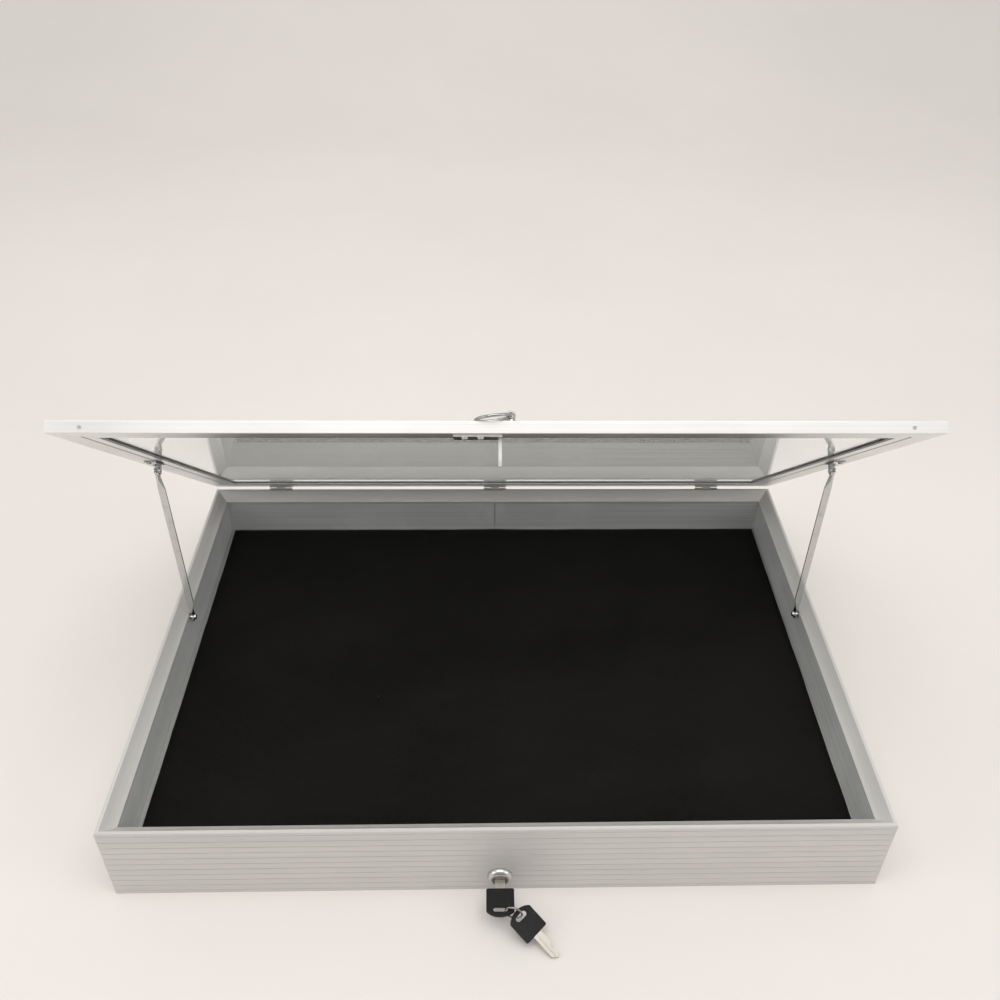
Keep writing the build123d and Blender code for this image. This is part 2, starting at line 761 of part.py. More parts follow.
save(stay_bracket_right, "stay_bracket_right")

with BuildPart() as stay_bracket_left:
    mirror(stay_bracket_right.part, about=Plane.YZ)
save(stay_bracket_left, "stay_bracket_left")

pin_inner = ear_outer - ear_thickness
pin_outer = stay_x + stay_eye_thickness / 2 + 0.3
with BuildPart() as stay_rivets:
    with BuildSketch(lid(Plane.YZ.offset(pin_inner))):
        with Locations((stay_pivot_y, stay_pivot_z)):
            Circle(stay_pin_radius)
    extrude(amount=pin_outer - pin_inner)
    with BuildSketch(lid(Plane.YZ.offset(pin_inner))):
        with Locations((stay_pivot_y, stay_pivot_z)):
            Circle(3.2)
    extrude(amount=-1.0, taper=20)
    with BuildSketch(lid(Plane.YZ.offset(pin_outer))):
        with Locations((stay_pivot_y, stay_pivot_z)):
            Circle(3.0)
    extrude(amount=0.8, taper=20)
    mirror(about=Plane.YZ)
save(stay_rivets, "stay_rivets")

with BuildPart() as stay_bracket_screws:
    with BuildSketch(lid(Plane.XY.offset(lid_bottom_z - bracket_thickness))):
        with Locations((bracket_x + 10, stay_pivot_y)):
            with GridLocations(1, 2 * bracket_screw_offset, 1, 2):
                Circle(2.6)
    extrude(amount=-1.3, taper=25)
    with BuildSketch(lid(Plane.XY.offset(lid_bottom_z - bracket_thickness))):
        with Locations((bracket_x + 10, stay_pivot_y)):
            with GridLocations(1, 2 * bracket_screw_offset, 1, 2):
                Circle(strike_screw_radius - 0.05)
    extrude(amount=2.7)
    mirror(about=Plane.YZ)
save(stay_bracket_screws, "stay_bracket_screws")

stud_flange = 0.6
stud_head = 2.0
with BuildPart() as stay_studs:
    with BuildSketch(Plane.YZ.offset(liner_face_x)):
        with Locations((stud_y, stud_z)):
            Circle(stud_radius - 0.45)
    extrude(amount=3.4)
    with BuildSketch(Plane.YZ.offset(liner_face_x)):
        with Locations((stud_y, stud_z)):
            Circle(stud_head_radius - 0.4)
    extrude(amount=-stud_flange)
    with BuildSketch(Plane.YZ.offset(liner_face_x)):
        with Locations((stud_y, stud_z)):
            Circle(stud_radius)
    extrude(amount=-5.0)
    with BuildSketch(Plane.YZ.offset(liner_face_x - 5.0)):
        with Locations((stud_y, stud_z)):
            Circle(stud_head_radius)
    extrude(amount=-stud_head, taper=18)
    mirror(about=Plane.YZ)
save(stay_studs, "stay_studs")

# ---------------------------------------------------------------- lock

lock_axis = Plane(origin=(0, -half_depth, lock_z), x_dir=(1, 0, 0), z_dir=(0, -1, 0))
barrel_end = -21.0 + 0.6
bezel_bore = lock_plug_radius + running_clearance

with BuildPart() as lock_housing:
    with BuildSketch(Plane(origin=(0, -half_depth, lock_z), x_dir=(1, 0, 0), z_dir=(0, 0, 1))):
        # half section; y runs into the case
        with BuildLine():
            Polyline(
                (bezel_bore, -lock_bezel_height),
                (bezel_bore, -barrel_end),
                (lock_barrel_radius, -barrel_end),
                (lock_barrel_radius, 0),
                (lock_bezel_radius, 0),
                (lock_bezel_radius, -1.2),
            )
            RadiusArc((lock_bezel_radius, -1.2), (bezel_bore + 1.6, -lock_bezel_height), 5.5)
            Line((bezel_bore + 1.6, -lock_bezel_height), (bezel_bore, -lock_bezel_height))
        make_face()
    revolve(axis=Axis((0, 0, lock_z), (0, 1, 0)))
save(lock_housing, "lock_housing")

nut_thickness = 4.0
with BuildPart() as lock_nut:
    with BuildSketch(Plane(origin=(0, -liner_face_y + 0.05, lock_z), x_dir=(1, 0, 0), z_dir=(0, 1, 0))):
        RegularPolygon(13.0, 6)
        Circle(lock_barrel_radius + 0.05, mode=Mode.SUBTRACT)
    extrude(amount=nut_thickness)
save(lock_nut, "lock_nut")

plug_front = lock_bezel_height - 0.5
with BuildPart() as lock_cylinder:
    with BuildSketch(lock_axis.offset(plug_front)):
        Circle(lock_plug_radius)
    extrude(amount=-(plug_front - barrel_end))
    with BuildSketch(lock_axis.offset(barrel_end)):
        Circle(4.4)
    extrude(amount=-0.6)
    with BuildSketch(lock_axis.offset(barrel_end - 0.6)):
        Rectangle(6, 6)
    extrude(amount=-cam_thickness)
    # keyway
    with BuildSketch(lock_axis.offset(plug_front)):
        Rectangle(key_width + 0.5, key_thickness + 0.5)
    extrude(amount=-18, mode=Mode.SUBTRACT)
    # thread of the cam screw
    with BuildSketch(lock_axis.offset(barrel_end - 0.6 - cam_thickness)):
        Circle(1.6)
    extrude(amount=6, mode=Mode.SUBTRACT)
save(lock_cylinder, "lock_cylinder")

finger_base = -1.4
arm_edge = -8.0
finger_tip = 8.0
finger_width = 4.0
with BuildPart() as lock_cam:
    # drawn from inside the case: x to the right, y up, as the lock stands open
    with BuildSketch(Plane(origin=(0, cam_y, lock_z), x_dir=(1, 0, 0), z_dir=(0, -1, 0))):
        Circle(8.0)
        with Locations((cam_length / 2, (finger_base + arm_edge) / 2)):
            Rectangle(cam_length, finger_base - arm_edge)
        with Locations((cam_length - finger_width / 2, (finger_base + finger_tip) / 2)):
            Rectangle(finger_width, finger_tip - finger_base)
        Rectangle(6.1, 6.1, mode=Mode.SUBTRACT)
    extrude(amount=-cam_thickness)
save(lock_cam, "lock_cam")

with BuildPart() as cam_screw:
    with BuildSketch(lock_axis.offset(barrel_end - 0.6 - cam_thickness)):
        Circle(4.6)
    extrude(amount=-1.8, taper=20)
    with BuildSketch(lock_axis.offset(barrel_end - 0.6 - cam_thickness)):
        Circle(1.55)
    extrude(amount=5)
    with BuildSketch(lock_axis.offset(barrel_end - 0.6 - cam_thickness - 1.8)):
        Rectangle(4, 0.7)
        Rectangle(0.7, 4)
    extrude(amount=1.0, mode=Mode.SUBTRACT)
save(cam_screw, "cam_screw")

# ---------------------------------------------------------------- keys

# Each key lies on a plane at its shoulder: x towards the tip, z out of its face.
key_1_plane = Plane(origin=(0, key_shoulder_y, lock_z), x_dir=(0, 1, 0), z_dir=(0, 0, 1))
blade_root = 12.0


def make_key_blade(plane):
    """Flat key blade with a milled edge and the part buried in the head."""
    with BuildPart() as blade:
        with BuildSketch(plane.offset(-key_thickness / 2)):
            half = key_width / 2
            with BuildLine():
                Polyline(
                    (-blade_root, -half),
                    (key_blade_length - 4, -half),
                    (key_blade_length, 0.4),
                    (key_blade_length - 2.2, half - 1.4),
                    (key_blade_length - 5.0, half - 3.0),
                    (key_blade_length - 7.4, half - 1.6),
                    (key_blade_length - 10.0, half - 3.4),
                    (key_blade_length - 12.8, half - 1.2),
                    (key_blade_length - 14.6, half),
                    (-blade_root, half),
                    close=True,
                )
            make_face()
        extrude(amount=key_thickness)
        # groove milled along the blade
        with BuildSketch(plane.offset(key_thickness / 2)):
            with Locations((key_blade_length / 2 + 2, -1.6)):
                Rectangle(key_blade_length - 2, 1.2)
        extrude(amount=-0.6, mode=Mode.SUBTRACT)
    return blade


def make_key_head(plane):
    """Plastic key head with a rounded end and a slot for the ring."""
    half = key_head_width / 2
    arc_start = key_head_length - 5.0
    with BuildPart() as blank:
        with BuildSketch(Plane.XY.offset(-key_head_thickness / 2)) as outline:
            with BuildLine():
                Polyline((-arc_start, half), (0, half), (0, -half), (-arc_start, -half))
                ThreePointArc((-arc_start, -half), (-key_head_length, 0), (-arc_start, half))
            make_face()
            fillet(outline.vertices(), 1.6)
            with Locations(Location((-key_slot_from_shoulder, 0, 0), (0, 0, 90))):
                SlotOverall(key_slot_length, key_slot_width, mode=Mode.SUBTRACT)
        extrude(amount=key_head_thickness)
        rims = blank.faces().sort_by(Axis.Z)
        fillet(rims[0].edges() + rims[-1].edges(), key_head_round)
        with BuildSketch(Plane.XY.offset(-key_thickness / 2 - 0.05)):
            with Locations((-blade_root / 2, 0)):
                Rectangle(blade_root + 0.2, key_width + 0.1)
        extrude(amount=key_thickness + 0.1, mode=Mode.SUBTRACT)
    with BuildPart() as head:
        add(plane.location * blank.part)
    return head


save(make_key_blade(key_1_plane), "key_1_blade")
save(make_key_head(key_1_plane), "key_1_head")

# The ring hangs upright through both slots.
ring_heading = Vector(0.97, -sqrt(1 - 0.97**2), 0)
first_rise = 2.0
second_drop = 3.0
first_hold = Vector(4.2, key_shoulder_y - key_slot_from_shoulder, lock_z)
first_reach = sqrt(ring_radius**2 - first_rise**2)
second_reach = sqrt(ring_radius**2 - second_drop**2)
ring_centre = first_hold + ring_heading * first_reach - Vector(0, 0, first_rise)
second_hold = ring_centre + ring_heading * second_reach - Vector(0, 0, second_drop)
with BuildPart(
    Plane(origin=ring_centre, x_dir=ring_heading, z_dir=ring_heading.cross(Vector(0, 0, 1)))
) as key_ring:
    Torus(ring_radius, ring_wire_radius)
save(key_ring, "key_ring")

# The second key hangs on the ring with its tip down on the table.
key_2_reach = key_slot_from_shoulder + key_blade_length
key_2_tip_z = 1.6
key_2_heading = 43.0
key_2_dip = asin((second_hold.Z - key_2_tip_z) / key_2_reach)
key_2_flat = Vector(cos(radians(key_2_heading)), -sin(radians(key_2_heading)), 0)
key_2_direction = key_2_flat * cos(key_2_dip) - Vector(0, 0, sin(key_2_dip))
key_2_normal = key_2_flat * sin(key_2_dip) + Vector(0, 0, cos(key_2_dip))
key_2_plane = Plane(
    origin=second_hold + key_2_direction * key_slot_from_shoulder,
    x_dir=key_2_direction,
    z_dir=key_2_normal,
)
save(make_key_blade(key_2_plane), "key_2_blade")
save(make_key_head(key_2_plane), "key_2_head")
print("ring holds", first_hold, second_hold, "key 2 runs along", key_2_direction)

# ---------------------------------------------------------------- strike

strike_bottom_z = lid_bottom_z - tongue_length
tongue_front = strike_back - tongue_depth
with BuildPart() as strike_bracket:
    with BuildSketch(lid(Plane.XY.offset(lid_bottom_z - strike_thickness))):
        with Locations(((strike_left + strike_right) / 2, (strike_front + strike_back) / 2)):
            Rectangle(strike_right - strike_left, strike_back - strike_front)
        with Locations([(x, strike_screw_y) for x in strike_screw_xs]):
            Circle(strike_screw_radius + 0.1, mode=Mode.SUBTRACT)
    extrude(amount=strike_thickness)
    with BuildSketch(lid(Plane.YZ.offset(strike_right - tongue_thickness))):
        with BuildLine():
            Polyline(
                (tongue_front, lid_bottom_z),
                (strike_back, lid_bottom_z),
                (strike_back, strike_bottom_z + 4),
                (strike_back - 3.5, strike_bottom_z),
                (tongue_front + 3.5, strike_bottom_z),
                (tongue_front, strike_bottom_z + 4),
                close=True,
            )
        make_face()
        # window for the finger of the cam
        with Locations((cam_y + cam_thickness / 2, lock_z + cam_length - finger_width / 2)):
            Rectangle(5.0, 7.0, mode=Mode.SUBTRACT)
    extrude(amount=tongue_thickness)
save(strike_bracket, "strike_bracket")

with BuildPart() as strike_screws:
    with BuildSketch(lid(Plane.XY.offset(lid_bottom_z - strike_thickness))):
        with Locations([(x, strike_screw_y) for x in strike_screw_xs]):
            Circle(3.0)
    extrude(amount=-1.8, taper=30)
    with BuildSketch(lid(Plane.XY.offset(lid_bottom_z - strike_thickness))):
        with Locations([(x, strike_screw_y) for x in strike_screw_xs]):
            Circle(strike_screw_radius - 0.05)
    extrude(amount=4.4)
save(strike_screws, "strike_screws")

# ---------------------------------------------------------------- pull

pull_eye_z = lid_top_z + pull_eye_height
with BuildPart(lid(Plane(origin=(pull_x, pull_y, pull_eye_z), x_dir=(1, 0, 0), z_dir=(0, 1, 0)))) as pull_eye:
    Torus(pull_eye_radius, pull_eye_wire)
    with BuildSketch(lid(Plane(origin=(pull_x, pull_y, lid_top_z)))):
        Circle(4.6)
    extrude(amount=1.5, taper=15)
    with BuildSketch(lid(Plane(origin=(pull_x, pull_y, lid_top_z)))):
        Circle(1.5)
    extrude(amount=-5)
save(pull_eye, "pull_eye")

ring_rest = asin((pull_eye_height - pull_ring_wire - 0.15) / (2 * pull_ring_radius))
pull_ring_centre = (
    pull_x - pull_ring_radius * cos(ring_rest),
    pull_y,
    pull_eye_z - pull_ring_radius * sin(ring_rest),
)
with BuildPart(
    lid(
        Plane(
            origin=pull_ring_centre,
            x_dir=(cos(ring_rest), 0, sin(ring_rest)),
            z_dir=(-sin(ring_rest), 0, cos(ring_rest)),
        )
    )
) as pull_ring:
    Torus(pull_ring_radius, pull_ring_wire)
save(pull_ring, "pull_ring")
pull_axis_point = lid(Plane(origin=(pull_x, pull_y, pull_eye_z))).origin
print("pull ring axis through", pull_axis_point, "rest tilt", round(degrees(ring_rest), 3))
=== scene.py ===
from math import pi, radians

import bmesh
import bpy
from mathutils import Matrix, Vector


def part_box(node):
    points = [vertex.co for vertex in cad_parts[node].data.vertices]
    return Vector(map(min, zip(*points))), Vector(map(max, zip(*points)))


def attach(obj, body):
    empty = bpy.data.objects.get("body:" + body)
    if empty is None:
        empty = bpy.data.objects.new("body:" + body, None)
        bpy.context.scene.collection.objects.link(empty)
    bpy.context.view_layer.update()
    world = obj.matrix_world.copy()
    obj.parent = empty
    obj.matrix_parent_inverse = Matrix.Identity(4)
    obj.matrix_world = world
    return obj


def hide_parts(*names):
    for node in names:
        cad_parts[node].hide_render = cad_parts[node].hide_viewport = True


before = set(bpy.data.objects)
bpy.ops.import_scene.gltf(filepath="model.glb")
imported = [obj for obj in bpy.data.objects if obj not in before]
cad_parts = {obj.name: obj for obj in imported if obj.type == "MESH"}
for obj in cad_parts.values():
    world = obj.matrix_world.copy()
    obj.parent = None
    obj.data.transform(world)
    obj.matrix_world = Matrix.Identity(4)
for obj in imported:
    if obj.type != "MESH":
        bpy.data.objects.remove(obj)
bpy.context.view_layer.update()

bl_info = {
    "name": "Tabletop display case",
    "version": (1, 0, 0),
    "blender": (4, 5, 0),
    "location": "3D View > Sidebar > Display Case",
    "description": "Dresses a glazed tabletop display case in its metal, glass and velvet",
    "category": "Object",
}

# The lid stands open by this angle, and its grain is tilted with it.
LID_TILT = radians(41.0)

# Axis that a drawn grain runs along.
ALONG_X, ALONG_Y, ALONG_Z = 0, 1, 2

CASE_METALLIC = 0.6
LID_METALLIC = 0.8
LID_ROUGHNESS = 0.36
WARM_LIGHT = (1.0, 0.975, 0.945)

# Camera place in metres, its turns in radians, and the sideways shift of its sensor
CAMERA_PLACE = (-0.01446, -0.7687, 0.84086)
CAMERA_HEADING = 0.0368
CAMERA_DOWN = 0.6461
CAMERA_ROLL = 0.0208
CAMERA_SHIFT = -0.0128

# Floor plane: its size, how high its backdrop stands and how round the corner is
FLOOR_WIDTH, FLOOR_DEPTH = 9.0, 7.0
FLOOR_BACK = 3.0
BACKDROP_HEIGHT = 4.0
BACKDROP_ROUND = 1.6

# Grid cuts on each side of the pad
PAD_CUTS = 90


# ---------------------------------------------------------------- settings


class DISPLAYCASE_PG_metal(bpy.types.PropertyGroup):
    """Colours of the extrusions and the small hardware."""

    case_colour: bpy.props.FloatVectorProperty(
        name="Case aluminium",
        description="Colour of the anodised case walls",
        subtype="COLOR",
        size=3,
        min=0.0,
        max=1.0,
        default=(0.69, 0.68, 0.665),
    )
    lid_colour: bpy.props.FloatVectorProperty(
        name="Lid aluminium",
        description="Colour of the anodised lid rails",
        subtype="COLOR",
        size=3,
        min=0.0,
        max=1.0,
        default=(0.87, 0.865, 0.855),
    )
    chrome_colour: bpy.props.FloatVectorProperty(
        name="Chrome",
        description="Colour of the stays, lock and pull",
        subtype="COLOR",
        size=3,
        min=0.0,
        max=1.0,
        default=(0.60, 0.60, 0.595),
    )
    nickel_colour: bpy.props.FloatVectorProperty(
        name="Nickel plate",
        description="Colour of the hinges, screws and key blades",
        subtype="COLOR",
        size=3,
        min=0.0,
        max=1.0,
        default=(0.62, 0.61, 0.58),
    )
    case_roughness: bpy.props.FloatProperty(
        name="Case sheen",
        description="Roughness of the anodised case",
        subtype="FACTOR",
        min=0.05,
        max=1.0,
        default=0.58,
    )


class DISPLAYCASE_PG_lining(bpy.types.PropertyGroup):
    """Colours of the inside of the case."""

    liner_colour: bpy.props.FloatVectorProperty(
        name="Liner",
        description="Colour of the grey lining strips",
        subtype="COLOR",
        size=3,
        min=0.0,
        max=1.0,
        default=(0.60, 0.61, 0.605),
    )
    board_colour: bpy.props.FloatVectorProperty(
        name="Floor board face",
        description="Colour of the board's pale melamine face",
        subtype="COLOR",
        size=3,
        min=0.0,
        max=1.0,
        default=(0.42, 0.42, 0.41),
    )


class DISPLAYCASE_PG_pad(bpy.types.PropertyGroup):
    """Size and colour of the velvet pad."""

    pile_colour: bpy.props.FloatVectorProperty(
        name="Pile",
        description="Colour of the velvet pile",
        subtype="COLOR",
        size=3,
        min=0.0,
        max=1.0,
        default=(0.0055, 0.0052, 0.0050),
    )
    edge_wander: bpy.props.FloatProperty(
        name="Edge wander",
        description="How far the wrapped edge wanders from a straight line",
        unit="LENGTH",
        min=0.0,
        max=0.002,
        default=0.0009,
    )
    edge_round: bpy.props.FloatProperty(
        name="Edge round",
        description="Radius of the fabric where it turns over the edge",
        unit="LENGTH",
        min=0.0002,
        max=0.002,
        default=0.0011,
    )


class DISPLAYCASE_PG_stage(bpy.types.PropertyGroup):
    """Camera, floor and lights."""

    floor_colour: bpy.props.FloatVectorProperty(
        name="Floor",
        description="Colour of the floor and backdrop",
        subtype="COLOR",
        size=3,
        min=0.0,
        max=1.0,
        default=(0.80, 0.77, 0.745),
    )
    lens: bpy.props.FloatProperty(
        name="Lens",
        description="Focal length on a 36 mm sensor, in millimetres",
        min=10.0,
        max=200.0,
        default=35.9,
    )
    key_power: bpy.props.FloatProperty(
        name="Key light",
        description="Power of the large light above the front",
        unit="POWER",
        min=0.0,
        default=24.0,
    )
    fill_power: bpy.props.FloatProperty(
        name="Fill lights",
        description="Power of each side light",
        unit="POWER",
        min=0.0,
        default=8.0,
    )
    wash_power: bpy.props.FloatProperty(
        name="Backdrop light",
        description="Power of the light on the backdrop behind the case",
        unit="POWER",
        min=0.0,
        default=16.0,
    )
    sky_strength: bpy.props.FloatProperty(
        name="Room light",
        description="Strength of the even light from all around",
        min=0.0,
        default=0.78,
    )


SETTINGS = {
    "display_case_metal": DISPLAYCASE_PG_metal,
    "display_case_lining": DISPLAYCASE_PG_lining,
    "display_case_pad": DISPLAYCASE_PG_pad,
    "display_case_stage": DISPLAYCASE_PG_stage,
}


# ---------------------------------------------------------------- materials


def new_material(name):
    """A fresh node material and its Principled shader."""
    material = bpy.data.materials.new(name)
    material.use_nodes = True
    return material, material.node_tree.nodes["Principled BSDF"]


def add_node(material, kind, **values):
    """A node with its settings, and its inputs where a name matches a socket."""
    node = material.node_tree.nodes.new(kind)
    for key, value in values.items():
        if key in node.inputs:
            node.inputs[key].default_value = value
        else:
            setattr(node, key, value)
    return node


def link(material, source, target):
    """Join an output socket to an input socket."""
    material.node_tree.links.new(source, target)


def object_pattern(material, scale=(1, 1, 1), tilt=0.0, shift=(0, 0, 0)):
    """Object coordinates, first turned about X by tilt and then stretched."""
    place = add_node(material, "ShaderNodeTexCoord").outputs["Object"]
    turn = add_node(material, "ShaderNodeMapping")
    turn.inputs["Rotation"].default_value = (tilt, 0, 0)
    link(material, place, turn.inputs["Vector"])
    stretch = add_node(material, "ShaderNodeMapping")
    stretch.inputs["Scale"].default_value = scale
    stretch.inputs["Location"].default_value = shift
    link(material, turn.outputs["Vector"], stretch.inputs["Vector"])
    return stretch.outputs["Vector"]


def noise(material, vector, scale, detail=4.0, roughness=0.55):
    """The grey output of a noise pattern."""
    node = add_node(
        material, "ShaderNodeTexNoise", Scale=scale, Detail=detail, Roughness=roughness
    )
    link(material, vector, node.inputs["Vector"])
    return node.outputs["Fac"]


def remap(material, value, low, high, to_low, to_high):
    """Value stretched from low..high to a new range and held inside it."""
    node = add_node(material, "ShaderNodeMapRange", clamp=True)
    node.inputs["From Min"].default_value = low
    node.inputs["From Max"].default_value = high
    node.inputs["To Min"].default_value = to_low
    node.inputs["To Max"].default_value = to_high
    link(material, value, node.inputs["Value"])
    return node.outputs["Result"]


def mix_colour(material, factor, first, second):
    """Two colours, or sockets of colour, mixed by a factor."""
    node = add_node(material, "ShaderNodeMix", data_type="RGBA")
    link(material, factor, node.inputs["Factor"])
    for socket, colour in ((node.inputs[6], first), (node.inputs[7], second)):
        if isinstance(colour, bpy.types.NodeSocket):
            link(material, colour, socket)
        else:
            socket.default_value = (*colour[:3], 1.0)
    return node.outputs[2]


def bump(material, shader, height, strength, distance, after=None):
    """Bump on the shader's normal, chained after an earlier bump if one is given."""
    node = add_node(material, "ShaderNodeBump", Strength=strength, Distance=distance)
    link(material, height, node.inputs["Height"])
    if after is not None:
        link(material, after, node.inputs["Normal"])
    link(material, node.outputs["Normal"], shader.inputs["Normal"])
    return node.outputs["Normal"]


def shade(colour, factor):
    """A colour made lighter or darker."""
    return tuple(min(1.0, part * factor) for part in colour[:3])


def grain_scale(axis, along, across):
    """Pattern scale with a long grain on one axis."""
    return tuple(along if i == axis else across for i in range(3))


def brushed_metal(name, colour, roughness, axis, tilt=0.0, metallic=1.0, depth=0.12, worn=0.05):
    """Anodised or plated metal with drawn lines along one axis and faint handling marks."""
    material, shader = new_material(name)
    shader.inputs["Metallic"].default_value = metallic
    lines = noise(material, object_pattern(material, grain_scale(axis, 2.5, 900), tilt), 1.0, 3.0)
    bands = noise(material, object_pattern(material, grain_scale(axis, 1.2, 90), tilt), 1.0, 2.0)
    smears = noise(material, object_pattern(material, (1, 1, 1), tilt, (3, 1, 2)), 9.0, 5.0, 0.6)
    scuffs = noise(
        material, object_pattern(material, grain_scale(axis, 30, 260), tilt), 1.0, 6.0, 0.7
    )
    drawn = mix_colour(
        material, remap(material, lines, 0.3, 0.7, 0, 1), shade(colour, 0.94), shade(colour, 1.05)
    )
    banded = mix_colour(
        material, remap(material, bands, 0.35, 0.7, 0, 0.5), drawn, shade(colour, 0.93)
    )
    marked = mix_colour(
        material, remap(material, scuffs, 0.66, 0.74, 0, worn * 6), banded, shade(colour, 1.12)
    )
    link(material, marked, shader.inputs["Base Color"])
    rough = add_node(material, "ShaderNodeMath", operation="ADD")
    link(
        material,
        remap(material, smears, 0.35, 0.7, roughness - 0.05, roughness + 0.09),
        rough.inputs[0],
    )
    link(material, remap(material, lines, 0.3, 0.7, -0.04, 0.04), rough.inputs[1])
    link(material, rough.outputs[0], shader.inputs["Roughness"])
    bump(material, shader, lines, depth, 0.00012)
    return material


def polished_metal(name, colour, roughness=0.09):
    """Chrome plate with soft orange peel and a few handling marks."""
    material, shader = new_material(name)
    shader.inputs["Metallic"].default_value = 1.0
    vector = object_pattern(material)
    peel = noise(material, vector, 420.0, 2.0)
    marks = noise(material, vector, 60.0, 8.0, 0.72)
    smears = noise(material, object_pattern(material, (1, 1, 1), 0, (2, 5, 1)), 25.0, 4.0)
    tone = mix_colour(
        material, remap(material, marks, 0.52, 0.72, 0, 1), colour, shade(colour, 0.78)
    )
    link(material, tone, shader.inputs["Base Color"])
    link(
        material,
        remap(material, smears, 0.35, 0.7, roughness, roughness + 0.16),
        shader.inputs["Roughness"],
    )
    bump(material, shader, peel, 0.08, 0.0001)
    return material


def moulded_plastic(name, colour, roughness=0.42):
    """Black moulding with spark-eroded texture and rubbed patches."""
    material, shader = new_material(name)
    vector = object_pattern(material)
    texture = noise(material, vector, 2600.0, 3.0)
    rubbed = noise(material, vector, 110.0, 6.0, 0.65)
    tone = mix_colour(
        material, remap(material, rubbed, 0.55, 0.72, 0, 1), colour, shade(colour, 2.4)
    )
    link(material, tone, shader.inputs["Base Color"])
    link(
        material,
        remap(material, rubbed, 0.4, 0.7, roughness + 0.05, roughness - 0.12),
        shader.inputs["Roughness"],
    )
    shader.inputs["Specular IOR Level"].default_value = 0.3
    bump(material, shader, texture, 0.25, 0.00008)
    return material


def lining_sheet(name, colour, axis):
    """Grey satin lining with long streaks along its run and dusty patches."""
    material, shader = new_material(name)
    streaks = noise(material, object_pattern(material, grain_scale(axis, 3, 420)), 1.0, 4.0)
    bands = noise(material, object_pattern(material, grain_scale(axis, 0.9, 60)), 1.0, 2.0)
    dust = noise(material, object_pattern(material, (1, 1, 1), 0, (1, 2, 3)), 14.0, 6.0, 0.65)
    tone = mix_colour(
        material, remap(material, streaks, 0.3, 0.7, 0, 1), shade(colour, 0.86), shade(colour, 1.14)
    )
    tone = mix_colour(material, remap(material, bands, 0.35, 0.7, 0, 0.7), tone, shade(colour, 1.2))
    tone = mix_colour(material, remap(material, dust, 0.5, 0.8, 0, 0.4), tone, shade(colour, 1.5))
    link(material, tone, shader.inputs["Base Color"])
    shader.inputs["Metallic"].default_value = 0.15
    link(material, remap(material, dust, 0.35, 0.7, 0.36, 0.55), shader.inputs["Roughness"])
    bump(material, shader, streaks, 0.1, 0.0001)
    return material


def faced_board(name, face, core):
    """Fibreboard with a pale melamine face: pale where it looks up or down, brown at its edges."""
    material, shader = new_material(name)
    vector = object_pattern(material)
    fibres = noise(material, vector, 700.0, 6.0, 0.7)
    clouds = noise(material, vector, 22.0, 4.0)
    core_tone = mix_colour(
        material, remap(material, fibres, 0.3, 0.7, 0, 1), shade(core, 0.75), shade(core, 1.2)
    )
    face_tone = mix_colour(
        material, remap(material, clouds, 0.4, 0.7, 0, 1), face, shade(face, 0.9)
    )
    normal = add_node(material, "ShaderNodeNewGeometry").outputs["True Normal"]
    parts = add_node(material, "ShaderNodeSeparateXYZ")
    link(material, normal, parts.inputs[0])
    level = add_node(material, "ShaderNodeMath", operation="ABSOLUTE")
    link(material, parts.outputs["Z"], level.inputs[0])
    tone = mix_colour(
        material, remap(material, level.outputs[0], 0.5, 0.6, 0, 1), core_tone, face_tone
    )
    link(material, tone, shader.inputs["Base Color"])
    link(material, remap(material, clouds, 0.35, 0.7, 0.4, 0.55), shader.inputs["Roughness"])
    bump(material, shader, fibres, 0.12, 0.0001)
    return material


def sawn_wood(name, colour, axis):
    """Softwood with grain along one axis."""
    material, shader = new_material(name)
    vector = object_pattern(material, grain_scale(axis, 4, 90))
    rings = add_node(material, "ShaderNodeTexNoise", Scale=1.0, Detail=3.0, Distortion=1.2)
    link(material, vector, rings.inputs["Vector"])
    fibres = noise(material, object_pattern(material, grain_scale(axis, 30, 1400)), 1.0, 3.0)
    tone = mix_colour(
        material,
        remap(material, rings.outputs["Fac"], 0.35, 0.62, 0, 1),
        shade(colour, 1.1),
        shade(colour, 0.6),
    )
    tone = mix_colour(
        material, remap(material, fibres, 0.5, 0.75, 0, 0.5), tone, shade(colour, 0.5)
    )
    link(material, tone, shader.inputs["Base Color"])
    link(material, remap(material, fibres, 0.3, 0.7, 0.6, 0.8), shader.inputs["Roughness"])
    bump(material, shader, fibres, 0.3, 0.0002)
    return material


def hardboard(name, colour):
    """Sealed brown hardboard, mottled and slightly polished by handling."""
    material, shader = new_material(name)
    vector = object_pattern(material)
    fibres = noise(material, vector, 520.0, 8.0, 0.75)
    clouds = noise(material, vector, 12.0, 4.0)
    tone = mix_colour(
        material, remap(material, fibres, 0.3, 0.7, 0, 1), shade(colour, 0.7), shade(colour, 1.25)
    )
    tone = mix_colour(material, remap(material, clouds, 0.4, 0.7, 0, 0.5), tone, shade(colour, 0.8))
    link(material, tone, shader.inputs["Base Color"])
    link(material, remap(material, clouds, 0.3, 0.7, 0.38, 0.6), shader.inputs["Roughness"])
    bump(material, shader, fibres, 0.2, 0.00015)
    return material


def clear_glass(name):
    """Float glass with faint smears that only show in its shine."""
    material, shader = new_material(name)
    smears = noise(material, object_pattern(material, (1, 1, 1), LID_TILT), 7.0, 6.0, 0.65)
    shader.inputs["Base Color"].default_value = (0.93, 0.965, 0.95, 1.0)
    shader.inputs["Transmission Weight"].default_value = 1.0
    shader.inputs["IOR"].default_value = 1.5
    link(material, remap(material, smears, 0.45, 0.75, 0.0, 0.035), shader.inputs["Roughness"])
    return material


